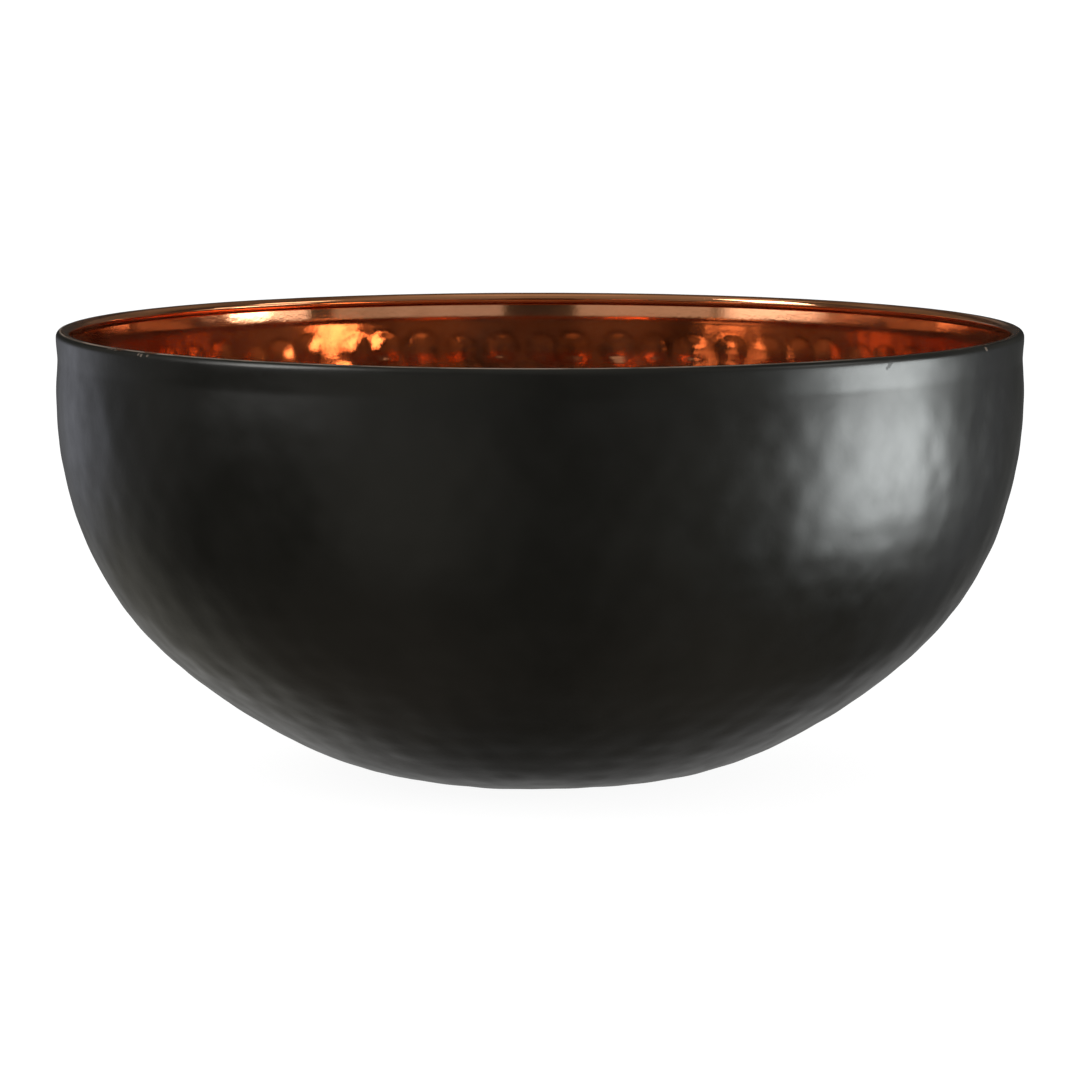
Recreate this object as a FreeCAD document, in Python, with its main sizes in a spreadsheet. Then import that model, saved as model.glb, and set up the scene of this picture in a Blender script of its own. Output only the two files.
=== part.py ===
"""Hammered copper bowl with a rolled, wired rim and a black coat outside.

A round bowl is raised from one copper sheet. Its base is pressed flat, and its edge is rolled inward
over a steel wire. A black coat covers the outside, from under the base to the crest of the rim.
+Z is up, the origin is the centre of the base's underside, and all sizes are in millimetres.
"""

import FreeCAD, Part
import math
import os
import Sketcher
from FreeCAD import Vector

# Driving dimensions. Radii and sweeps of the wall are those of the black coat's outer face.
SIZES = {
    "rim_radius": 140.0,  # widest radius, which the rim's bead comes out to as well
    "bowl_height": 130.0,  # base to the crest of the rim
    "wide_height": 111.5,  # height at which the wall stands vertical, under the neck
    "upper_radius": 116.0,
    "upper_sweep": 18.0,
    "belly_radius": 91.5,
    "belly_sweep": 31.0,
    "lower_radius": 178.0,
    "lower_sweep": 14.5,
    "neck_slope": 3.6,  # steepest slope of the shallow neck under the bead, in degrees
    "neck_top_radius": 30.0,
    "neck_turn_radius": 15.0,
    "bead_radius": 2.1,
    "coat_thickness": 0.2,
    "sheet_thickness": 0.9,
    "curl_sweep": 290.0,  # how far round the wire the sheet is rolled
    "coat_sweep": 90.0,  # how far round the bead the coat reaches, which is its crest
    "wire_clearance": 0.02,
    "wire_sweep": 359.5,  # the wire's two ends meet with a small gap
}

OUTER_FACE = "0"
SHEET_OUTSIDE = "Sizes.coat_thickness"
SHEET_INSIDE = "(Sizes.coat_thickness + Sizes.sheet_thickness)"


def make_sizes(doc):
    """The spreadsheet of driving dimensions: a name, and its value with an alias."""
    sheet = doc.addObject("Spreadsheet::Sheet", "Sizes")
    for row, (name, value) in enumerate(SIZES.items(), start=1):
        sheet.set(f"A{row}", name)
        sheet.set(f"B{row}", str(value))
        sheet.setAlias(f"B{row}", name)
    doc.recompute()
    return sheet


def direction(degrees):
    """Unit vector in the sketch plane, counted from the outward radius."""
    return Vector(math.cos(math.radians(degrees)), math.sin(math.radians(degrees)), 0)


def add_arc(sketch, centre, radius, first, last):
    """Arc of a circle, counter-clockwise from first to last degrees."""
    circle = Part.Circle(centre, Vector(0, 0, 1), radius)
    return sketch.addGeometry(Part.ArcOfCircle(circle, math.radians(first), math.radians(last)), False)


def bind(sketch, name, formula, *constraint):
    """Adds a constraint with a name, whose value follows a formula on the sizes."""
    sketch.addConstraint(Sketcher.Constraint(*constraint))
    sketch.renameConstraint(sketch.ConstraintCount - 1, name)
    sketch.setExpression(f"Constraints.{name}", formula)


def neck_closure(inset):
    """Radius of the shoulder arc and length of the neck's cone.

    They bring the wall from its widest point back out to the bead's middle.
    """
    size = SIZES
    slope = math.radians(size["neck_slope"])
    rise = size["bowl_height"] - size["bead_radius"] - size["wide_height"]
    top = size["neck_top_radius"] - inset
    turn = size["neck_turn_radius"] + inset
    half = math.tan(slope / 2)
    straight = rise - (top + 2 * turn) * math.sin(slope) + top * half * math.cos(slope)
    shoulder = straight / (math.sin(slope) + half * math.cos(slope))
    return shoulder, (shoulder - top) * half


def add_lower_wall(sketch, inset):
    """Floor line, heel, and three arcs up to the widest point, each tangent to the last."""
    size = SIZES
    arcs = []
    angle = 0.0
    point = Vector(size["rim_radius"] - inset, size["wide_height"], 0)
    for name in ("upper", "belly", "lower"):
        radius = size[f"{name}_radius"] - inset
        centre = point - direction(angle) * radius
        end = angle - size[f"{name}_sweep"]
        arcs.append(add_arc(sketch, centre, radius, end, angle))
        point = centre + direction(end) * radius
        angle = end
    heel_radius = (point.y - inset) / (1 + math.sin(math.radians(angle)))
    centre = point - direction(angle) * heel_radius
    heel = add_arc(sketch, centre, heel_radius, -90, angle)
    floor = sketch.addGeometry(Part.LineSegment(Vector(0, inset, 0), Vector(centre.x, inset, 0)), False)
    return floor, heel, arcs


def add_neck_and_bead(sketch, inset, bead_sweep):
    """From the widest point: shoulder, the neck's turn, its cone and top arc, then round the bead."""
    size = SIZES
    slope = size["neck_slope"]
    shoulder_radius, cone_length = neck_closure(inset)
    centre = Vector(size["rim_radius"] - inset - shoulder_radius, size["wide_height"], 0)
    shoulder = add_arc(sketch, centre, shoulder_radius, 0, slope)
    turn_radius = size["neck_turn_radius"] + inset
    centre = centre + direction(slope) * (shoulder_radius + turn_radius)
    turn = add_arc(sketch, centre, turn_radius, 180 - slope, 180 + slope)
    low = centre + direction(180 - slope) * turn_radius
    high = low + direction(90 - slope) * cone_length
    cone = sketch.addGeometry(Part.LineSegment(low, high), False)
    top_radius = size["neck_top_radius"] - inset
    top = add_arc(sketch, high - direction(-slope) * top_radius, top_radius, -slope, 0)
    middle = Vector(size["rim_radius"] - size["bead_radius"], size["bowl_height"] - size["bead_radius"], 0)
    bead = add_arc(sketch, middle, size["bead_radius"] - inset, 0, size[bead_sweep])
    return shoulder, turn, cone, top, bead


def join_smoothly(sketch, floor, heel, arcs, neck):
    """Tangent joints between neighbours. 1 is an element's start, 2 its end and 3 its centre."""
    upper, belly, lower = arcs
    shoulder, turn, cone, top, bead = neck
    joints = [
        (floor, 2, heel, 1),
        (heel, 2, lower, 1),
        (lower, 2, belly, 1),
        (belly, 2, upper, 1),
        (upper, 2, shoulder, 1),
        (shoulder, 2, turn, 2),
        (turn, 1, cone, 1),
        (cone, 2, top, 1),
        (top, 2, bead, 1),
    ]
    for joint in joints:
        sketch.addConstraint(Sketcher.Constraint("Tangent", *joint))
    sketch.addConstraint(Sketcher.Constraint("Horizontal", floor))
    sketch.addConstraint(Sketcher.Constraint("PointOnObject", floor, 1, -2))
    sketch.addConstraint(Sketcher.Constraint("Horizontal", upper, 2, upper, 3))


def bind_radii(sketch, prefix, inset, formula, arcs, neck):
    """Radii from the sheet. Arcs round the bowl's inner side shrink with the inset, and the turn grows."""
    upper, belly, lower = arcs
    _, turn, _, top, bead = neck
    radii = (
        ("upper_radius", upper, -1),
        ("belly_radius", belly, -1),
        ("lower_radius", lower, -1),
        ("neck_turn_radius", turn, 1),
        ("neck_top_radius", top, -1),
        ("bead_radius", bead, -1),
    )
    for name, arc, side in radii:
        sign = "+" if side > 0 else "-"
        radius = SIZES[name] + side * inset
        bind(sketch, f"{prefix}_{name}", f"Sizes.{name} {sign} {formula}", "Radius", arc, radius)


def bind_sweeps(sketch, prefix, arcs, neck, bead_sweep):
    """Sweeps from the sheet. The turn undoes the shoulder's lean and leans as far the other way."""
    upper, belly, lower = arcs
    shoulder, turn, _, top, bead = neck
    sweeps = (
        ("upper", "upper_sweep", upper, 1),
        ("belly", "belly_sweep", belly, 1),
        ("lower", "lower_sweep", lower, 1),
        ("shoulder", "neck_slope", shoulder, 1),
        ("turn", "neck_slope", turn, 2),
        ("top", "neck_slope", top, 1),
        ("bead", bead_sweep, bead, 1),
    )
    for part, name, arc, times in sweeps:
        sweep = math.radians(times * SIZES[name])
        bind(sketch, f"{prefix}_{part}_sweep", f"{times} * Sizes.{name} * 1 deg", "Angle", arc, sweep)


def bind_places(sketch, prefix, inset, formula, floor, upper, bead):
    """Where the widest point, the bead's middle and the floor line lie, all from the origin."""
    wide_x = SIZES["rim_radius"] - inset
    bead_x = SIZES["rim_radius"] - SIZES["bead_radius"]
    bead_y = SIZES["bowl_height"] - SIZES["bead_radius"]
    places = (
        ("wide_x", f"Sizes.rim_radius - {formula}", "DistanceX", upper, 2, wide_x),
        ("wide_y", "Sizes.wide_height", "DistanceY", upper, 2, SIZES["wide_height"]),
        ("bead_x", "Sizes.rim_radius - Sizes.bead_radius", "DistanceX", bead, 3, bead_x),
        ("bead_y", "Sizes.bowl_height - Sizes.bead_radius", "DistanceY", bead, 3, bead_y),
    )
    for name, where, kind, element, point, value in places:
        bind(sketch, f"{prefix}_{name}", where, kind, -1, 1, element, point, value)
    if inset > 0:
        bind(sketch, f"{prefix}_floor_y", formula, "DistanceY", -1, 1, floor, 1, inset)
    else:
        sketch.addConstraint(Sketcher.Constraint("PointOnObject", floor, 1, -1))


def add_face(sketch, prefix, inset, formula, bead_sweep):
    """One face of the wall, inset from the coat's outer face, from the bowl's axis to the end of the bead.

    Returns the floor line and the bead arc. The heel's radius, the floor's length, the shoulder's radius
    and the cone's length are left free, because they close the outline.
    """
    floor, heel, arcs = add_lower_wall(sketch, inset)
    neck = add_neck_and_bead(sketch, inset, bead_sweep)
    bead = neck[-1]
    join_smoothly(sketch, floor, heel, arcs, neck)
    bind_radii(sketch, prefix, inset, formula, arcs, neck)
    bind_sweeps(sketch, prefix, arcs, neck, bead_sweep)
    bind_places(sketch, prefix, inset, formula, floor, arcs[0], bead)
    return floor, bead


def new_body(doc, label):
    """An empty body with a sketch on its XZ plane, where the sketch's V axis is the bowl's axis."""
    body = doc.addObject("PartDesign::Body", label)
    body.Label = label
    sketch = body.newObject("Sketcher::SketchObject", f"{label}_section")
    plane = next(item for item in body.Origin.OriginFeatures if item.Role == "XZ_Plane")
    sketch.AttachmentSupport = [(plane, "")]
    sketch.MapMode = "FlatFace"
    doc.recompute()
    return body, sketch


def revolve(body, sketch, degrees):
    """Turns the sketch about the bowl's axis. degrees is a formula."""
    turned = body.newObject("PartDesign::Revolution", f"{body.Label}_turned")
    turned.Profile = sketch
    turned.ReferenceAxis = (sketch, ["V_Axis"])
    turned.setExpression("Angle", degrees)
    sketch.Visibility = False
    body.Tip = turned
    return turned


def make_layer(doc, label, outside, inside, bead_sweep):
    """A layer of the wall between two faces.

    Each face is given by its inset from the coat's outer face, as a number and as a formula.
    """
    body, sketch = new_body(doc, label)
    outer_floor, outer_bead = add_face(sketch, "outer", *outside, bead_sweep)
    inner_floor, inner_bead = add_face(sketch, "inner", *inside, bead_sweep)
    for first, last, point in ((outer_floor, inner_floor, 1), (outer_bead, inner_bead, 2)):
        ends = (sketch.getPoint(first, point), sketch.getPoint(last, point))
        edge = sketch.addGeometry(Part.LineSegment(*ends), False)
        sketch.addConstraint(Sketcher.Constraint("Coincident", edge, 1, first, point))
        sketch.addConstraint(Sketcher.Constraint("Coincident", edge, 2, last, point))
    revolve(body, sketch, "360")
    return body


def make_bowl_shell(doc):
    """The copper sheet: flat base, round wall, shallow neck, and the edge rolled inward over the wire."""
    coat = SIZES["coat_thickness"]
    sheet = coat + SIZES["sheet_thickness"]
    return make_layer(doc, "bowl_shell", (coat, SHEET_OUTSIDE), (sheet, SHEET_INSIDE), "curl_sweep")


def make_black_coating(doc):
    """The black coat on the sheet's outside, which stops at the crest of the rim."""
    coat = SIZES["coat_thickness"]
    return make_layer(doc, "black_coating", (0.0, OUTER_FACE), (coat, SHEET_OUTSIDE), "coat_sweep")


def make_rim_wire(doc):
    """The wire ring inside the rolled edge, with a small gap where its ends meet."""
    body, sketch = new_body(doc, "rim_wire")
    size = SIZES
    centre = Vector(size["rim_radius"] - size["bead_radius"], size["bowl_height"] - size["bead_radius"], 0)
    skin = size["coat_thickness"] + size["sheet_thickness"] + size["wire_clearance"]
    radius = size["bead_radius"] - skin
    ring = sketch.addGeometry(Part.Circle(centre, Vector(0, 0, 1), radius), False)
    skin_formula = f"{SHEET_INSIDE} - Sizes.wire_clearance"
    bind(sketch, "wire_radius", f"Sizes.bead_radius - {skin_formula}", "Radius", ring, radius)
    bind(sketch, "wire_x", "Sizes.rim_radius - Sizes.bead_radius", "DistanceX", -1, 1, ring, 3, centre.x)
    bind(sketch, "wire_y", "Sizes.bowl_height - Sizes.bead_radius", "DistanceY", -1, 1, ring, 3, centre.y)
    revolve(body, sketch, "Sizes.wire_sweep * 1 deg")
    return body


def check(doc, bodies):
    """Stops if an object failed to compute, a sketch is loose, or a sub-part isn't one valid solid."""
    for item in doc.Objects:
        if "Invalid" in item.State or "Error" in item.State:
            raise RuntimeError(f"{item.Name} failed: {item.State}")
        if item.TypeId == "Sketcher::SketchObject" and not item.FullyConstrained:
            raise RuntimeError(f"{item.Name} isn't fully constrained")
    for body in bodies:
        shape = body.Shape
        if shape.isNull() or not shape.isValid() or len(shape.Solids) != 1:
            raise RuntimeError(f"{body.Label} isn't one valid solid")
        box = shape.optimalBoundingBox(False)
        sizes = f"{box.XLength:.1f} x {box.YLength:.1f} x {box.ZLength:.1f} mm"
        print(f"{body.Label}: {shape.Volume:.0f} mm3, {sizes}")


def main():
    doc = FreeCAD.newDocument("hammered_bowl")
    make_sizes(doc)
    bodies = [make_bowl_shell(doc), make_black_coating(doc), make_rim_wire(doc)]
    doc.recompute()
    check(doc, bodies)
    os.makedirs("parts", exist_ok=True)
    for body in bodies:
        body.Shape.exportStep(f"parts/{body.Label}.step")


main()
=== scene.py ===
"""Looks of the hammered bowl: hammered copper sheet inside, satin black coat outside, and the studio.

Lengths are in metres. The bowl's frame has +Z up and its origin under the middle of the flat base.
"""

import math

import bpy
import numpy as np
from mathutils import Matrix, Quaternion, Vector


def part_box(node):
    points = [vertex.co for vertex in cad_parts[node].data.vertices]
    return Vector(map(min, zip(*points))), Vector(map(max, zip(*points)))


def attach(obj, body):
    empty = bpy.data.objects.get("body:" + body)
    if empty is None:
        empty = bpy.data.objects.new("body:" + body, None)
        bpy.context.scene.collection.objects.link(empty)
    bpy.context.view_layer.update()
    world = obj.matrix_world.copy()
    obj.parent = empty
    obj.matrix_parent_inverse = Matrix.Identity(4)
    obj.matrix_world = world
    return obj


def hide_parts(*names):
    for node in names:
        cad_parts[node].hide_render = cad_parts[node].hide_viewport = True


MM = 0.001
SEED = 7

# The wall's outline, as the CAD part has it: radii and sweeps of the coat's outer face.
WIDE_HEIGHT = 111.5 * MM
UPPER_ARC = (116.0 * MM, 18.0)
BELLY_ARC = (91.5 * MM, 31.0)
LOWER_ARC = (178.0 * MM, 14.5)
NECK_SLOPE = 3.6
NECK_TOP_RADIUS = 30.0 * MM
NECK_TURN_RADIUS = 15.0 * MM
BEAD_RADIUS = 2.1 * MM
COAT = 0.2 * MM
SHEET = 0.9 * MM
CURL_SWEEP = 290.0

# Mesh density.
SEGMENTS = 512
LEAST_SEGMENTS = 16
HALVE_BELOW = 0.55  # segments are halved on a ring smaller than this share of the size that they suit
ROW_STEP = 1.6 * MM
NECK_STEP = 0.6 * MM  # for the last stretch below the bead
NECK_LENGTH = 12.0 * MM
HIDDEN_STEP = 4.0 * MM
BEAD_STEP = 0.45 * MM

# Hammer marks. A mark is a shallow dish that a domed hammer leaves.
MARK_PITCH = 12.3 * MM
MARK_ROW = 9.4 * MM
MARK_RADIUS = 4.9 * MM
MARK_DEPTH = 0.28 * MM
FIRST_ROW = 17.6 * MM  # from the crest's height down the wall to the first row's middle
TURN_SCATTER = 0.10  # of the pitch
ROW_SCATTER = 0.09  # of the distance between rows
ROW_SPREAD = (0.95, 1.05)
DEPTH_SPREAD = (0.75, 1.25)
RADIUS_SPREAD = (0.88, 1.12)
LAST_ROW = 0.4 * MARK_PITCH  # the rows stop this near the middle of the base
RIDGE_WIDTH = 0.09 * MM  # how much of the marks' relief the painted shade along the ridges takes up
RIDGE_MIDDLE = -0.7  # where the painted shade on a ridge is darkest: this many ridge widths, so beyond the marks' brim
NO_DISH = -20.0  # this many softnesses beyond its brim, a mark adds nothing
BLOCK = 4096  # points worked out at a time

# How strongly the marks show, and how softly the ridges between them are rounded.
INSIDE_GAIN = 1.0
INSIDE_SOFTNESS = 0.012 * MM
INSIDE_BASE_GAIN = 0.6  # share of the relief that is left over the base
INSIDE_BASE_FADE = 15 * MM
OUTSIDE_GAIN = 0.40
OUTSIDE_SOFTNESS = 0.08 * MM
OUTSIDE_BASE_FADE = 10 * MM

# Slow unevenness of the outside, which dies out over the base and towards the bead.
WAVE_COUNT = 40
WAVE_LENGTHS = (11 * MM, 36 * MM)
WAVE_HEIGHT = 0.08 * MM
WAVE_BASE_FADE = 15 * MM
WAVE_RIM_FADE = (5 * MM, 1 * MM)  # where it starts and ends, below the bead

# The coat's edge along the rim.
COAT_DEPTH = 1.02 * COAT  # its hidden face lies just inside the sheet's outer face
EDGE_BACK = 0.6 * MM  # it stops this far outside the rim's crest
EDGE_THINNING = 0.75 * COAT  # how much of its thickness it has lost there
EDGE_THIN_FROM = 0.55  # of the way from the bead's start to the edge
EDGE_ROWS = 9
EDGE_ROWS_BACK = 4
EDGE_WAVES = (2, 3, 5, 9, 17, 31, 53)  # how many of each wave go round the rim
EDGE_WAVE_HEIGHT = 0.05 * MM
EDGE_WAVE_SPREAD = (0.4, 1.0)
# Where it has chipped back: (degrees from +X, length along the rim, how far back).
EDGE_CHIPS = ((213.0, 4.5 * MM, 0.9 * MM), (219.5, 6.0 * MM, 0.7 * MM), (333.2, 2.2 * MM, 0.5 * MM))

# Wear of the black coat, and a painted highlight along its rim. Spots are (degrees from +X, length below
# the rim's crest, radius).
WEAR_AND_HIGHLIGHT_COLOUR = (0.19, 0.135, 0.10)
WEAR_AND_HIGHLIGHT_ROUGHNESS = 0.6
PALE_EDGE_HEIGHT = 129.55 * MM  # above it the coat is painted pale, as rubbed wear and as painted highlight
PALE_EDGE_FADE = 0.12 * MM
PALE_EDGE_SHARE = 1.2  # how strongly the edge is painted pale on the bowl's middle plane, before it is held to at most 1
HIGHLIGHT_FALLOFF = 8.0  # how much less for each metre towards +X, as the painted highlight fades
PALE_EDGE_LEAST = 0.15
CHIP_SHARE = 0.4  # how pale the chips are, next to a fully pale edge
PALE_CHIPS = (
    (210.6, 1.1 * MM, 0.8 * MM),
    (211.4, 1.2 * MM, 0.7 * MM),
    (212.3, 1.3 * MM, 0.7 * MM),
    (217.6, 2.0 * MM, 0.5 * MM),
    (218.2, 2.2 * MM, 0.6 * MM),
    (219.4, 2.1 * MM, 0.5 * MM),
    (333.0, 2.4 * MM, 0.8 * MM),
)
NICK_ROUGHNESS = 0.5
DARK_NICKS = (
    (313.3, 2.6 * MM, 0.7 * MM),
    (313.0, 3.2 * MM, 0.8 * MM),
    (312.8, 3.8 * MM, 0.7 * MM),
    (312.5, 4.4 * MM, 0.6 * MM),
)
SPOT_END = 1.5  # a spot ends this many radii out, less the noise there, which is 0 to 1
SPOT_SHARPNESS = 4.0

# Tints of the studio's lights and screens.
PLAIN = (1.0, 1.0, 1.0)
WARM = (1.04, 1.0, 0.86)
BROWN = (1.15, 0.96, 0.78)
COOL = (0.94, 0.97, 1.10)

# Softboxes facing the bowl. Each has its azimuth (degrees from the camera's side, towards +X) and
# elevation, its width and height in degrees, its radiance, its tint, its roll and how far away it is.
SOFTBOXES = {
    "right_low": (79.5, -9.7, 30.6, 27.5, 11.0, (0.95, 1.0, 0.995), 12.0, 0.6),
    "right_high": (80.0, 10.5, 30.0, 14.0, 1.2, (1.0, 0.99, 0.96), 0.0, 1.5),
    "right_top": (75.0, 33.0, 20.0, 14.0, 2.5, (1.0, 0.98, 0.94), 0.0, 1.5),
    "left_key": (-69.0, 31.0, 18.0, 32.0, 8.0, (1.0, 0.99, 0.95), 0.0, 1.5),
}
SOFTBOX_AIM = (0, 0, 0.1)

# Dim screens around the set, seen only in reflections. Each has its middle's azimuth (degrees from the
# camera's side, towards +X) and elevation, its width and height in degrees, how far its sides and its
# top and bottom fade, its brightness and its tint.
SCREENS = {
    "front_left": (-26.5, 3.5, 35, 4, 1.0, 1.0, 0.46, PLAIN),
    "front_right": (31, 3.5, 44, 4, 1.0, 1.0, 0.42, PLAIN),
    "left_edge": (-61, 3.0, 27, 5, 4.0, 1.0, 1.70, PLAIN),
    "left_edge_wide": (-80, 3.0, 48, 5, 6.0, 1.0, 0.06, PLAIN),
    "right_edge": (65, 3.0, 10, 5, 1.0, 1.0, 1.40, PLAIN),
    "right_edge_wide": (82, 3.0, 28, 5, 4.0, 1.0, 1.00, PLAIN),
    "low_left": (-32, -22, 46, 44, 8.0, 8.0, 0.27, WARM),
    "low_right": (42, -24, 36, 44, 12.0, 12.0, 0.17, WARM),
    "left_strip": (-141, -6, 28, 15, 8.0, 7.0, 0.66, COOL),
    "left_strip_low": (-142, -30, 44, 28, 10.0, 8.0, 0.25, WARM),
    "left_side": (-110, -8, 40, 20, 10.0, 10.0, 0.12, PLAIN),
    "right_strip": (132, -14, 22, 40, 10.0, 10.0, 0.14, COOL),
    "back": (180, -24, 44, 28, 8.0, 12.0, 0.44, PLAIN),
    "back_low": (180, -50, 60, 14, 10.0, 8.0, 0.05, PLAIN),
    "under_left": (-90, -66, 140, 40, 12.0, 12.0, 0.10, BROWN),
    "under_right": (90, -66, 140, 40, 12.0, 12.0, 0.08, BROWN),
    "ceiling": (180, 72, 180, 80, 12.0, 12.0, 0.05, WARM),
    "overhead": (0, 90, 400, 44, 8.0, 7.0, 0.20, WARM),
    "left_top": (-92, 58, 44, 14, 5.0, 5.0, 0.55, WARM),
    "back_wall_left": (-122, 26, 42, 40, 6.0, 8.0, 0.09, WARM),
    "back_wall_right": (136, 26, 44, 40, 6.0, 8.0, 0.07, WARM),
    "back_gap": (-172, 17, 14, 12, 4.0, 4.0, 0.10, WARM),
    "front_ceiling": (0, 55, 160, 78, 12.0, 12.0, 0.21, WARM),
}
ROOM = (0.035, 0.035, 0.032)
BACKDROP = 1.2  # brightness of the white behind the bowl

FLOOR_HALF = 6.0  # half of its side
FLOOR_GREY = 0.12
FLOOR_GLOW = 0.93

CAMERA_PLACE = (0.0, -1.680, 0.26252)
CAMERA_TILT = 6.614  # degrees below level
CAMERA_LENS = 193.6


# ---------------------------------------------------------------- outline


def direction(degrees):
    """A unit vector in the outline's plane, at an angle from straight outward."""
    return np.array([math.cos(math.radians(degrees)), math.sin(math.radians(degrees))])


def arc(centre, radius, first, last, side=1):
    """A round stretch of the outline: its length, and its place and outward normal at a share of it.

    side is 1 where the centre lies on the bowl's inner side, and -1 in the neck's hollow.
    """
    def at(share):
        turn = direction(first + (last - first) * share)
        return centre + radius * turn, side * turn

    return abs(math.radians(last - first)) * radius, at


def line(start, stop, normal):
    """A straight stretch of the outline."""
    def at(share):
        return start + (stop - start) * share, normal

    return float(np.linalg.norm(stop - start)), at


def lower_wall(rim_radius):
    """The flat base, the heel, and three arcs up to the widest point."""
    stretches = []
    angle = 0.0
    point = np.array([rim_radius, WIDE_HEIGHT])
    for radius, sweep in (UPPER_ARC, BELLY_ARC, LOWER_ARC):
        centre = point - radius * direction(angle)
        stretches.append(arc(centre, radius, angle - sweep, angle))
        angle -= sweep
        point = centre + radius * direction(angle)
    heel = point[1] / (1 + math.sin(math.radians(angle)))
    centre = point - heel * direction(angle)
    stretches.append(arc(centre, heel, -90.0, angle))
    stretches.append(line(np.array([0.0, 0.0]), np.array([centre[0], 0.0]), direction(-90)))
    return stretches[::-1]


def neck_and_bead(rim_radius, height):
    """From the widest point: shoulder, the neck's turn, its cone and top arc, then round the bead.

    The shoulder's radius and the cone's length bring the wall back out to the bead's middle.
    """
    slope = math.radians(NECK_SLOPE)
    half = math.tan(slope / 2)
    rise = height - BEAD_RADIUS - WIDE_HEIGHT
    straight = rise - (NECK_TOP_RADIUS + 2 * NECK_TURN_RADIUS) * math.sin(slope)
    straight += NECK_TOP_RADIUS * half * math.cos(slope)
    shoulder = straight / (math.sin(slope) + half * math.cos(slope))
    cone = (shoulder - NECK_TOP_RADIUS) * half

    below = np.array([rim_radius - shoulder, WIDE_HEIGHT])
    turn = below + (shoulder + NECK_TURN_RADIUS) * direction(NECK_SLOPE)
    low = turn + NECK_TURN_RADIUS * direction(180 - NECK_SLOPE)
    high = low + cone * direction(90 - NECK_SLOPE)
    top = high - NECK_TOP_RADIUS * direction(-NECK_SLOPE)
    bead = np.array([rim_radius - BEAD_RADIUS, height - BEAD_RADIUS])
    return [
        arc(below, shoulder, 0.0, NECK_SLOPE),
        arc(turn, NECK_TURN_RADIUS, 180 + NECK_SLOPE, 180 - NECK_SLOPE, side=-1),
        line(low, high, direction(-NECK_SLOPE)),
        arc(top, NECK_TOP_RADIUS, -NECK_SLOPE, 0.0),
        arc(bead, BEAD_RADIUS, 0.0, CURL_SWEEP),
    ]


def rows(start, stop, step):
    """Evenly spaced lengths from start to stop, about a step apart."""
    count = max(1, round((stop - start) / step))
    return [start + (stop - start) * i / count for i in range(count + 1)]


class Outline:
    """The wall's outer face, followed by length from the middle of the base to the end of the curl."""

    def __init__(self, rim_radius, height):
        self.rim_radius = rim_radius
        self.stretches = lower_wall(rim_radius) + neck_and_bead(rim_radius, height)
        self.flat = self.stretches[0][0]
        self.end = sum(length for length, _ in self.stretches)
        self.bead_start = self.end - self.stretches[-1][0]
        self.crest = self.bead_start + BEAD_RADIUS * math.pi / 2

    def at(self, along):
        """(radius, height, normal's radius part, normal's height part) at a length along the wall."""
        for length, place in self.stretches:
            if along <= length + 1e-12:
                break
            along -= length
        point, normal = place(min(along / length, 1.0))
        return point[0], point[1], normal[0], normal[1]

    def wall_rows(self):
        """The visible wall, from beside the pole up to the bead, closer together by the neck."""
        neck = self.bead_start - NECK_LENGTH
        return rows(ROW_STEP, neck, ROW_STEP)[:-1] + rows(neck, self.bead_start, NECK_STEP)


# ---------------------------------------------------------------- hammer marks


class Marks:
    """Hammer marks in rows around the bowl, each a little out of place and of its own depth."""

    def __init__(self, outline, rng):
        places, depths, domes = [], [], []
        along = outline.bead_start + BEAD_RADIUS - FIRST_ROW
        while along > LAST_ROW:
            r = outline.at(along)[0]
            count = max(1, round(math.tau * r / MARK_PITCH))
            phase = rng.uniform(0, math.tau)
            for i in range(count):
                turn = phase + math.tau * (i + rng.normal(0, TURN_SCATTER)) / count
                place = max(along + rng.normal(0, ROW_SCATTER) * MARK_ROW, 0.0)
                r, z, _, _ = outline.at(place)
                places.append((r * math.cos(turn), r * math.sin(turn), z))
                depth = MARK_DEPTH * rng.uniform(*DEPTH_SPREAD)
                depths.append(depth)
                domes.append((MARK_RADIUS * rng.uniform(*RADIUS_SPREAD)) ** 2 / (2 * depth))
            along -= MARK_ROW * rng.uniform(*ROW_SPREAD)
        self.places = np.array(places)
        self.depths = np.array(depths)
        self.domes = np.array(domes)

    def depth(self, points, softness):
        """How far each point is pressed outward, and how nearly it lies on a ridge, from 0 to 1.

        softness rounds the ridges between marks.
        """
        pressed = np.zeros(len(points))
        ridge = np.zeros(len(points))
        for i in range(0, len(points), BLOCK):
            block = points[i:i + BLOCK]
            gap = ((block[:, None, :] - self.places[None, :, :]) ** 2).sum(2)
            dish = self.depths - gap / (2 * self.domes)
            ridge[i:i + BLOCK] = np.exp(-((dish.max(1) / RIDGE_WIDTH - RIDGE_MIDDLE) ** 2))
            dish = np.maximum(dish, NO_DISH * softness)
            pressed[i:i + BLOCK] = softness * np.log1p(np.exp(dish / softness).sum(1))
        return pressed, ridge


class Waves:
    """Shallow unevenness left in the outside: many plane waves in random directions."""

    def __init__(self, rng, count, shortest, longest, height):
        ways = rng.normal(size=(count, 3))
        lengths = rng.uniform(shortest, longest, count)
        self.waves = ways / np.linalg.norm(ways, axis=1)[:, None] * (math.tau / lengths)[:, None]
        self.phases = rng.uniform(0, math.tau, count)
        self.heights = height * lengths / longest * math.sqrt(2 / count)

    def height(self, points):
        return (np.sin(points @ self.waves.T + self.phases) * self.heights).sum(1)


# ---------------------------------------------------------------- meshes


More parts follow.
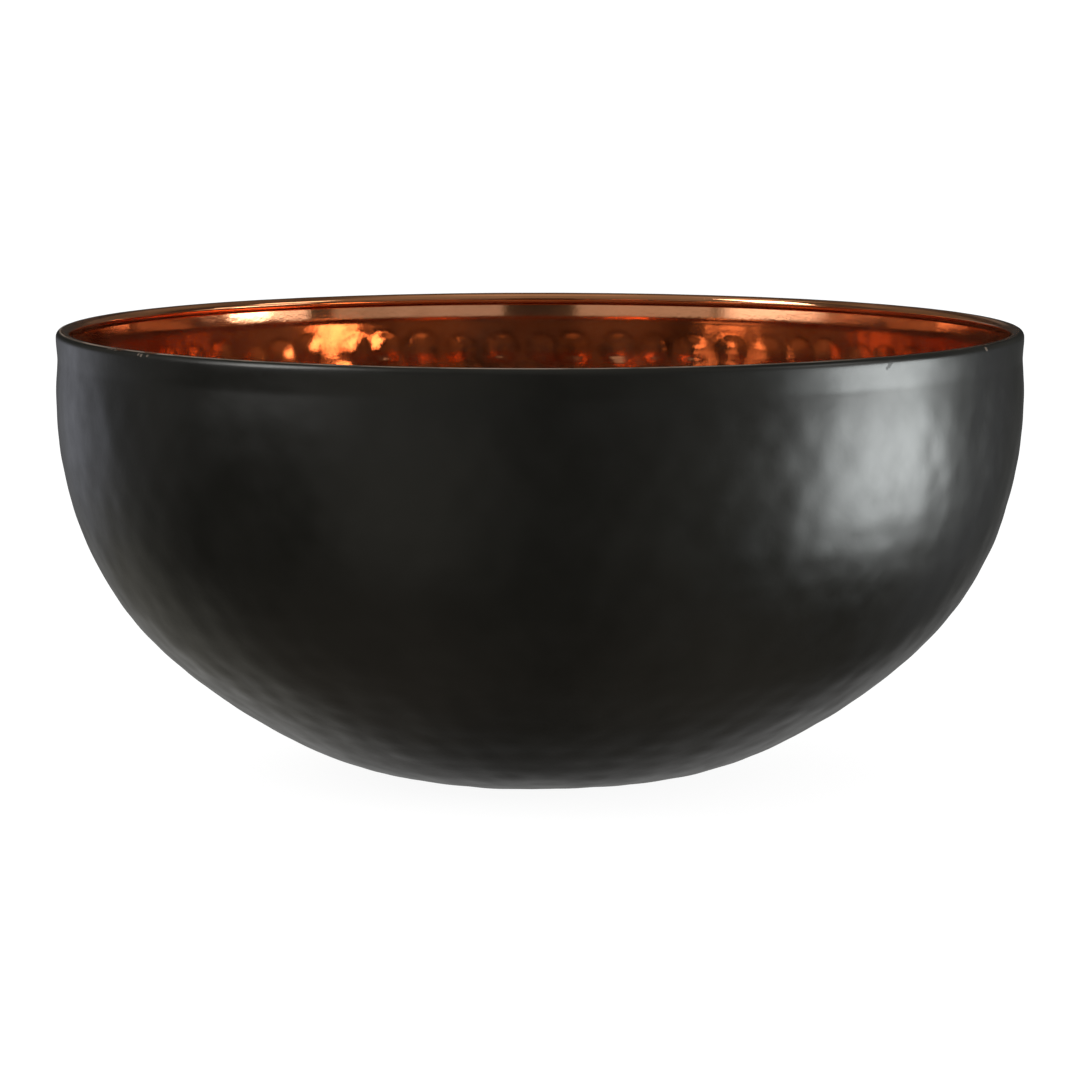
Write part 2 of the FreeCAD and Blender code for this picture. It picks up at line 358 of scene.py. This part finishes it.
def stitch(first, first_count, second, second_count):
    """Faces between two rings of vertices. One ring may have half as many as the other."""
    faces = []
    if first_count == second_count:
        for i in range(first_count):
            j = (i + 1) % first_count
            faces.append((first + i, second + i, second + j, first + j))
        return faces
    swap = first_count < second_count
    if swap:
        first, first_count, second, second_count = second, second_count, first, first_count
    for i in range(second_count):
        j = (i + 1) % second_count
        a, b, c = 2 * i, 2 * i + 1, (2 * i + 2) % first_count
        trio = [
            (first + a, second + i, first + b),
            (first + b, second + i, second + j),
            (first + b, second + j, first + c),
        ]
        faces += [tuple(reversed(f)) for f in trio] if swap else trio
    return faces


class Skin:
    """A closed mesh grown ring by ring, from one pole to the other or around a rim."""

    def __init__(self):
        self.points = []
        self.ridges = []
        self.faces = []
        self.total = 0
        self.last = None

    def add(self, points, ridge=0.0):
        start = self.total
        self.points.append(points)
        self.ridges.append(np.zeros(len(points)) + ridge)
        self.total += len(points)
        return start

    def pole(self, z):
        start = self.add(np.array([[0.0, 0.0, z]]))
        self.last = (start, 1)

    def ring(self, points, ridge=0.0):
        count = len(points)
        start = self.add(points, ridge)
        before, before_count = self.last
        if before_count == 1:
            self.faces += [(before, start + i, start + (i + 1) % count) for i in range(count)]
        else:
            self.faces += stitch(before, before_count, start, count)
        self.last = (start, count)

    def close(self, z):
        start = self.add(np.array([[0.0, 0.0, z]]))
        before, count = self.last
        self.faces += [(before + (i + 1) % count, before + i, start) for i in range(count)]


def make_object(name, skin, material, flip=False):
    mesh = bpy.data.meshes.new(name)
    points = np.concatenate(skin.points)
    faces = [tuple(reversed(f)) for f in skin.faces] if flip else skin.faces
    mesh.from_pydata(points.tolist(), [], faces)
    ridge = mesh.attributes.new("ridge", "FLOAT", "POINT")
    ridge.data.foreach_set("value", np.concatenate(skin.ridges).astype(np.float32))
    mesh.validate()
    mesh.shade_smooth()
    mesh.materials.append(material)
    piece = bpy.data.objects.new(name, mesh)
    bpy.context.scene.collection.objects.link(piece)
    return piece


# ---------------------------------------------------------------- the two pieces


def smooth(low, high, value):
    """Rises smoothly from 0 at low to 1 at high."""
    t = np.clip((value - low) / (high - low), 0, 1)
    return t * t * (3 - 2 * t)


def ring_turns(count):
    """The angles of a ring's points."""
    return math.tau * np.arange(count) / count


def face_points(outline, along, count, inset):
    """A ring of points on the wall, inset from the coat's outer face, with the outward normals."""
    r, z, nr, nz = outline.at(along)
    turns = ring_turns(count)
    flat = np.stack([np.cos(turns), np.sin(turns)], 1)
    points = np.column_stack([flat * (r - nr * inset), np.full(count, z - nz * inset)])
    normals = np.column_stack([flat * nr, np.full(count, nz)])
    return points, normals


def pressed_ring(outline, marks, along, count, inset, gain, softness):
    """A ring with the marks pressed into it, and how nearly each of its points lies on a ridge."""
    points, normals = face_points(outline, along, count, inset)
    middle, _ = face_points(outline, along, count, 0.0)
    depth, ridge = marks.depth(middle, softness)
    return points + normals * (gain * depth)[:, None], ridge


def outside_gain(outline, along):
    """The black side keeps little of the relief, and the pressed base none."""
    return OUTSIDE_GAIN * float(smooth(outline.flat, outline.flat + OUTSIDE_BASE_FADE, along))


def uneven_ring(outline, marks, waves, along, inset):
    """A ring of the coat's or the sheet's outer face, with the marks' faint relief and the unevenness."""
    count = count_at(outline, along)
    gain = outside_gain(outline, along)
    points, _ = pressed_ring(outline, marks, along, count, inset, gain, OUTSIDE_SOFTNESS)
    share = smooth(outline.flat, outline.flat + WAVE_BASE_FADE, along)
    first, last = WAVE_RIM_FADE
    share *= 1 - smooth(outline.bead_start - first, outline.bead_start - last, along)
    middle, normals = face_points(outline, along, count, 0.0)
    return points + normals * (share * waves.height(middle))[:, None]


def inside_gain(outline, along):
    """The marks are shallower over the pressed base."""
    full = smooth(outline.flat, outline.flat + INSIDE_BASE_FADE, along)
    return INSIDE_GAIN * float(INSIDE_BASE_GAIN + (1 - INSIDE_BASE_GAIN) * full)


def count_at(outline, along):
    """Segments of a ring: halved towards the middle, so that cells stay near one size."""
    r = outline.at(along)[0]
    count = SEGMENTS
    while count > LEAST_SEGMENTS and r < HALVE_BELOW * outline.rim_radius * count / SEGMENTS:
        count //= 2
    return count


def make_shell(outline, marks, waves, material):
    """The copper sheet as one closed skin: inside, round the curl, and back down the hidden side."""
    skin = Skin()
    middle_depth, _ = marks.depth(np.zeros((1, 3)), INSIDE_SOFTNESS)
    skin.pole(COAT + SHEET - inside_gain(outline, 0) * middle_depth[0])
    for along in outline.wall_rows():
        count = count_at(outline, along)
        gain = inside_gain(outline, along)
        skin.ring(*pressed_ring(outline, marks, along, count, COAT + SHEET, gain, INSIDE_SOFTNESS))
    for along in rows(outline.bead_start, outline.end, 3 * BEAD_STEP)[1:]:
        skin.ring(face_points(outline, along, SEGMENTS, COAT + SHEET)[0])
    for along in reversed(rows(outline.bead_start, outline.end, BEAD_STEP)):
        skin.ring(face_points(outline, along, SEGMENTS, COAT)[0])
    for along in reversed(rows(HIDDEN_STEP, outline.bead_start, HIDDEN_STEP)[:-1]):
        skin.ring(uneven_ring(outline, marks, waves, along, COAT))
    skin.close(COAT)
    return make_object("hammered_sheet", skin, material)


def make_coat(outline, marks, waves, material, rng):
    """The black coat as one closed skin, thinning out to a slightly wavy edge along the rim's crest."""
    skin = Skin()
    skin.pole(0.0)
    for along in outline.wall_rows():
        skin.ring(uneven_ring(outline, marks, waves, along, 0.0))
    edge = paint_edge(outline, rng)
    for share in np.linspace(0, 1, EDGE_ROWS + 1)[1:]:
        inset = EDGE_THINNING * float(smooth(EDGE_THIN_FROM, 1.0, share))
        skin.ring(edge_ring(outline, edge, share, inset))
    for share in np.linspace(1, 0, EDGE_ROWS_BACK + 1):
        skin.ring(edge_ring(outline, edge, share, COAT_DEPTH))
    for along in reversed(rows(HIDDEN_STEP, outline.bead_start, HIDDEN_STEP)[:-1]):
        skin.ring(uneven_ring(outline, marks, waves, along, COAT_DEPTH))
    skin.close(COAT_DEPTH)
    return make_object("black_coat", skin, material, flip=True)


def paint_edge(outline, rng):
    """How far along the wall the coat reaches at each segment, with slow waves and a few chips."""
    turns = ring_turns(SEGMENTS)
    edge = np.full(SEGMENTS, outline.crest - EDGE_BACK)
    for waves in EDGE_WAVES:
        height = EDGE_WAVE_HEIGHT * rng.uniform(*EDGE_WAVE_SPREAD)
        edge += height * np.sin(waves * turns + rng.uniform(0, math.tau))
    for degrees, length, back in EDGE_CHIPS:
        away = (turns - math.radians(degrees) + math.pi) % math.tau - math.pi
        edge -= back * np.exp(-((away * outline.rim_radius / (length / 2)) ** 4))
    return edge


def edge_ring(outline, edge, share, inset):
    """A ring of the coat round the bead, at a share of the way from the bead's start to the edge."""
    points = []
    for turn, last in zip(ring_turns(SEGMENTS), edge):
        r, z, nr, nz = outline.at(outline.bead_start + share * (last - outline.bead_start))
        r -= nr * inset
        points.append((r * math.cos(turn), r * math.sin(turn), z - nz * inset))
    return np.array(points)


# ---------------------------------------------------------------- materials


def new_material(name):
    """A new material, its node tree and its Principled shader."""
    material = bpy.data.materials.new(name)
    material.use_nodes = True
    nodes = material.node_tree.nodes
    return material, material.node_tree, nodes["Principled BSDF"]


def object_place(tree):
    """The socket that gives a point's place in the object's own space."""
    return tree.nodes.new("ShaderNodeTexCoord").outputs["Object"]


def noise(tree, scale, detail, rough):
    """Noise in the object's own space. scale is in cycles a metre."""
    texture = tree.nodes.new("ShaderNodeTexNoise")
    texture.inputs["Scale"].default_value = scale
    texture.inputs["Detail"].default_value = detail
    texture.inputs["Roughness"].default_value = rough
    tree.links.new(object_place(tree), texture.inputs["Vector"])
    return texture.outputs["Fac"]


def ramp(tree, factor, *stops):
    """A colour ramp. Each stop is (position, grey value or colour)."""
    node = tree.nodes.new("ShaderNodeValToRGB")
    elements = node.color_ramp.elements
    while len(elements) < len(stops):
        elements.new(0.5)
    for element, (position, value) in zip(elements, stops):
        element.position = position
        colour = value if isinstance(value, tuple) else (value, value, value)
        element.color = (*colour, 1.0)
    tree.links.new(factor, node.inputs["Fac"])
    return node.outputs["Color"]


def bump(tree, height, distance, after=None):
    """Bumps of a height given in metres, on top of those in after."""
    node = tree.nodes.new("ShaderNodeBump")
    node.inputs["Distance"].default_value = distance
    node.inputs["Strength"].default_value = 1.0
    tree.links.new(height, node.inputs["Height"])
    if after:
        tree.links.new(after, node.inputs["Normal"])
    return node.outputs["Normal"]


def blend(tree, factor, first, second):
    """Mixes two colours or greys. first is a socket and second a constant."""
    node = tree.nodes.new("ShaderNodeMix")
    node.data_type = "RGBA"
    tree.links.new(factor, node.inputs["Factor"])
    tree.links.new(first, node.inputs["A"])
    node.inputs["B"].default_value = (*second, 1.0)
    return node.outputs["Result"]


def math_node(tree, operation, *values):
    """A scalar or vector maths node. A value is a socket or a constant."""
    vector = any(isinstance(value, tuple) for value in values)
    node = tree.nodes.new("ShaderNodeVectorMath" if vector else "ShaderNodeMath")
    node.operation = operation
    for socket, value in zip(node.inputs, values):
        if isinstance(value, (int, float, tuple)):
            socket.default_value = value
        else:
            tree.links.new(value, socket)
    return node.outputs[0]


def clamp(tree, value, low, high):
    """Holds a value between two constants."""
    return math_node(tree, "MINIMUM", math_node(tree, "MAXIMUM", value, low), high)


def make_copper():
    """Bright copper with a patchy film of tarnish, and painted shade along the ridges between the marks."""
    material, tree, shader = new_material("hammered_copper")
    ridge = tree.nodes.new("ShaderNodeAttribute")
    ridge.attribute_name = "ridge"
    # painted shade: the ridges between the marks are darkened in the colour, so the relief shows in
    # reflections
    painted_ridge_shade = math_node(tree, "MULTIPLY", ridge.outputs["Fac"], noise(tree, 160.0, 4.0, 0.6))
    dark, light, ridge_shade_colour = (0.70, 0.30, 0.145), (0.82, 0.375, 0.200), (0.30, 0.10, 0.04)
    tone = ramp(tree, noise(tree, 22.0, 5.0, 0.6), (0.25, dark), (0.75, light))
    tree.links.new(blend(tree, painted_ridge_shade, tone, ridge_shade_colour), shader.inputs["Base Color"])
    tarnish = ramp(tree, noise(tree, 45.0, 6.0, 0.6), (0.35, 0.995), (0.75, 0.955))
    tree.links.new(tarnish, shader.inputs["Metallic"])
    rough = ramp(tree, noise(tree, 60.0, 6.0, 0.65), (0.3, 0.04), (0.7, 0.11))
    tree.links.new(rough, shader.inputs["Roughness"])
    tree.links.new(bump(tree, noise(tree, 900.0, 3.0, 0.6), 0.01 * MM), shader.inputs["Normal"])
    return material


def spots(tree, outline, places):
    """A mask of small ragged spots. Each is (degrees from +X, length below the crest, radius)."""
    place = object_place(tree)
    ragged = noise(tree, 1400.0, 4.0, 0.7)
    mask = 0.0
    for degrees, below, radius in places:
        r, z, _, _ = outline.at(outline.crest - below)
        turn = math.radians(degrees)
        away = tree.nodes.new("ShaderNodeVectorMath")
        away.operation = "DISTANCE"
        tree.links.new(place, away.inputs[0])
        away.inputs[1].default_value = (r * math.cos(turn), r * math.sin(turn), z)
        share = math_node(tree, "DIVIDE", away.outputs["Value"], radius)
        share = math_node(tree, "ADD", share, ragged)
        spot = math_node(tree, "MULTIPLY_ADD", share, -SPOT_SHARPNESS, SPOT_SHARPNESS * SPOT_END)
        mask = math_node(tree, "MAXIMUM", mask, spot)
    return math_node(tree, "MINIMUM", mask, 1.0)


def painted_highlight_and_wear_edge(tree):
    """A mask of the coat's last stretch before the crest, painted pale as rubbed wear and as painted
    highlight, least towards +X, where the painted highlight fades.
    """
    axes = tree.nodes.new("ShaderNodeSeparateXYZ")
    tree.links.new(object_place(tree), axes.inputs["Vector"])
    share = math_node(tree, "SUBTRACT", axes.outputs["Z"], PALE_EDGE_HEIGHT)
    share = clamp(tree, math_node(tree, "DIVIDE", share, PALE_EDGE_FADE), 0.0, 1.0)
    patchy = ramp(tree, noise(tree, 60.0, 5.0, 0.6), (0.40, 0.35), (0.60, 1.0))
    # painted highlight fall-off: the pale edge weakens towards +X
    kept = math_node(tree, "MULTIPLY_ADD", axes.outputs["X"], -HIGHLIGHT_FALLOFF, PALE_EDGE_SHARE)
    kept = clamp(tree, kept, PALE_EDGE_LEAST, 1.0)
    return math_node(tree, "MULTIPLY", math_node(tree, "MULTIPLY", share, patchy), kept)


def make_black(outline):
    """Satin black, painted pale along the rim as wear and painted highlight, with a few pale chips and one
    dull nick.
    """
    material, tree, shader = new_material("satin_black_coat")
    chipped = math_node(tree, "MULTIPLY", spots(tree, outline, PALE_CHIPS), CHIP_SHARE)
    # the pale edge is rubbed wear and painted highlight; the chips are wear
    wear_and_highlight = math_node(tree, "MAXIMUM", painted_highlight_and_wear_edge(tree), chipped)
    nicked = spots(tree, outline, DARK_NICKS)
    dark, light = (0.0025, 0.0023, 0.0016), (0.0045, 0.0041, 0.0031)
    tone = ramp(tree, noise(tree, 35.0, 5.0, 0.6), (0.3, dark), (0.7, light))
    tree.links.new(blend(tree, wear_and_highlight, tone, WEAR_AND_HIGHLIGHT_COLOUR), shader.inputs["Base Color"])
    rough = ramp(tree, noise(tree, 90.0, 6.0, 0.65), (0.3, 0.29), (0.7, 0.37))
    rough = blend(tree, wear_and_highlight, rough, (WEAR_AND_HIGHLIGHT_ROUGHNESS,) * 3)
    rough = blend(tree, nicked, rough, (NICK_ROUGHNESS,) * 3)
    tree.links.new(rough, shader.inputs["Roughness"])
    fine = bump(tree, noise(tree, 1600.0, 2.0, 0.5), 0.008 * MM)
    tree.links.new(bump(tree, noise(tree, 240.0, 2.0, 0.5), 0.03 * MM, after=fine), shader.inputs["Normal"])
    return material


def make_steel():
    """Drawn steel wire, dull and hidden inside the rim."""
    material, tree, shader = new_material("drawn_steel_wire")
    shader.inputs["Metallic"].default_value = 1.0
    dark, light = (0.32, 0.31, 0.30), (0.50, 0.49, 0.47)
    tone = ramp(tree, noise(tree, 150.0, 4.0, 0.6), (0.3, dark), (0.7, light))
    tree.links.new(tone, shader.inputs["Base Color"])
    rough = ramp(tree, noise(tree, 400.0, 4.0, 0.6), (0.3, 0.30), (0.7, 0.5))
    tree.links.new(rough, shader.inputs["Roughness"])
    return material


# ---------------------------------------------------------------- studio


def make_floor():
    """A plain pale floor that glows a little, so that it blends into the white backdrop."""
    mesh = bpy.data.meshes.new("floor")
    half = FLOOR_HALF
    corners = [(-half, -half, 0), (half, -half, 0), (half, half, 0), (-half, half, 0)]
    mesh.from_pydata(corners, [], [(0, 1, 2, 3)])
    floor = bpy.data.objects.new("floor", mesh)
    bpy.context.scene.collection.objects.link(floor)
    material, tree, shader = new_material("studio_floor")
    shader.inputs["Base Color"].default_value = (FLOOR_GREY, FLOOR_GREY, FLOOR_GREY, 1.0)
    shader.inputs["Emission Color"].default_value = (1.0, 1.0, 1.0, 1.0)
    shader.inputs["Emission Strength"].default_value = FLOOR_GLOW
    shader.inputs["Roughness"].default_value = 0.9
    shader.inputs["Specular IOR Level"].default_value = 0.0
    mesh.materials.append(material)
    floor.visible_glossy = False
    floor.visible_shadow = False


def softbox(name, azimuth, elevation, width, height, radiance, tint, roll, away):
    """A rectangular area light that faces the bowl."""
    light = bpy.data.lights.new(name, "AREA")
    light.shape = "RECTANGLE"
    light.size = 2 * away * math.tan(math.radians(width / 2))
    light.size_y = 2 * away * math.tan(math.radians(height / 2))
    light.energy = radiance * math.pi * light.size * light.size_y
    light.color = tint
    piece = bpy.data.objects.new(name, light)
    aside, up = math.radians(azimuth), math.radians(elevation)
    flat = math.cos(up)
    way = Vector((math.sin(aside) * flat, -math.cos(aside) * flat, math.sin(up)))
    piece.location = Vector(SOFTBOX_AIM) + away * way
    turn = (-way).to_track_quat("-Z", "Y") @ Quaternion((0, 0, 1), math.radians(roll))
    piece.rotation_euler = turn.to_euler()
    bpy.context.scene.collection.objects.link(piece)


def screen(tree, heading, total, azimuth, elevation, width, height, sides, ends, brightness, tint):
    """Adds one screen to the running total. heading is (azimuth, elevation) in turns."""
    aside = math_node(tree, "SUBTRACT", heading, (azimuth / 360, elevation / 360, 0.0))
    aside = math_node(tree, "WRAP", aside, (0.5, 0.5, 0.5), (-0.5, -0.5, -0.5))
    aside = math_node(tree, "ABSOLUTE", aside, (0.0, 0.0, 0.0))
    inside = tree.nodes.new("ShaderNodeMapRange")
    inside.data_type = "FLOAT_VECTOR"
    inside.interpolation_type = "SMOOTHSTEP"
    tree.links.new(aside, inside.inputs["Vector"])
    half = np.array([width, height]) / 2
    fade = np.array([sides, ends])
    outer, inner = (*(half + fade) / 360, -1.0), (*(half - fade) / 360, 1.0)
    ranges = inside.inputs[7:11]  # the vector's from min, from max, to min and to max
    for socket, value in zip(ranges, (outer, inner, (0, 0, 0), (1, 1, 1))):
        socket.default_value = value
    parts = tree.nodes.new("ShaderNodeSeparateXYZ")
    tree.links.new(inside.outputs["Vector"], parts.inputs["Vector"])
    share = math_node(tree, "MULTIPLY", parts.outputs["X"], parts.outputs["Y"])
    return math_node(tree, "MULTIPLY_ADD", share, tuple(brightness * part for part in tint), total)


def studio_heading(tree):
    """Which way a ray leaves the set: its azimuth and elevation in turns."""
    place = tree.nodes.new("ShaderNodeTexCoord")
    axes = tree.nodes.new("ShaderNodeSeparateXYZ")
    tree.links.new(place.outputs["Generated"], axes.inputs["Vector"])
    forward = math_node(tree, "MULTIPLY", axes.outputs["Y"], -1.0)
    azimuth = math_node(tree, "DIVIDE", math_node(tree, "ARCTAN2", axes.outputs["X"], forward), math.tau)
    elevation = math_node(tree, "DIVIDE", math_node(tree, "ARCSINE", axes.outputs["Z"]), math.tau)
    heading = tree.nodes.new("ShaderNodeCombineXYZ")
    tree.links.new(azimuth, heading.inputs["X"])
    tree.links.new(elevation, heading.inputs["Y"])
    return heading.outputs["Vector"]


def make_world():
    """White behind the bowl, soft white for matt surfaces, and a dim studio for glossy ones."""
    world = bpy.data.worlds.new("studio")
    bpy.context.scene.world = world
    world.use_nodes = True
    world.cycles.sampling_method = "NONE"
    tree = world.node_tree
    nodes, links = tree.nodes, tree.links
    white = nodes["Background"]
    white.inputs["Color"].default_value = (1, 1, 1, 1)
    white.inputs["Strength"].default_value = BACKDROP

    heading = studio_heading(tree)
    total = ROOM
    for values in SCREENS.values():
        total = screen(tree, heading, total, *values)
    dim = nodes.new("ShaderNodeBackground")
    links.new(total, dim.inputs["Color"])

    path = nodes.new("ShaderNodeLightPath")
    mix = nodes.new("ShaderNodeMixShader")
    links.new(path.outputs["Is Glossy Ray"], mix.inputs["Fac"])
    links.new(white.outputs["Background"], mix.inputs[1])
    links.new(dim.outputs["Background"], mix.inputs[2])
    links.new(mix.outputs["Shader"], nodes["World Output"].inputs["Surface"])


def make_camera():
    scene = bpy.context.scene
    camera = bpy.data.cameras.new("camera")
    camera.sensor_width = 36.0
    camera.lens = CAMERA_LENS
    camera.clip_start = 0.05
    camera.clip_end = 50.0
    piece = bpy.data.objects.new("camera", camera)
    piece.location = CAMERA_PLACE
    piece.rotation_euler = (math.radians(90 - CAMERA_TILT), 0, 0)
    scene.collection.objects.link(piece)
    scene.camera = piece


# ---------------------------------------------------------------- put together


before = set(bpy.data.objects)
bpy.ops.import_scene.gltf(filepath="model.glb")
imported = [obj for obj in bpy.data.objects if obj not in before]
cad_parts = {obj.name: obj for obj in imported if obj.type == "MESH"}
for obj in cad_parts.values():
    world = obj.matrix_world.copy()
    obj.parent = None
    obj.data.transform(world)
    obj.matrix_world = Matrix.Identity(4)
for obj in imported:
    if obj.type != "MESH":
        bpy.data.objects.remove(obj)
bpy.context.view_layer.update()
make_camera()

low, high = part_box("black_coating")
outline = Outline(high.x, high.z)
rng = np.random.default_rng(SEED)
marks = Marks(outline, rng)
waves = Waves(rng, WAVE_COUNT, *WAVE_LENGTHS, WAVE_HEIGHT)

shell = make_shell(outline, marks, waves, make_copper())
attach(shell, "root")
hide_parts("bowl_shell")

coat = make_coat(outline, marks, waves, make_black(outline), rng)
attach(coat, "root")
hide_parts("black_coating")

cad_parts["rim_wire"].material_slots[0].material = make_steel()

make_floor()
make_world()
for name, values in SOFTBOXES.items():
    softbox(name, *values)
bpy.context.scene.view_settings.view_transform = "Standard"
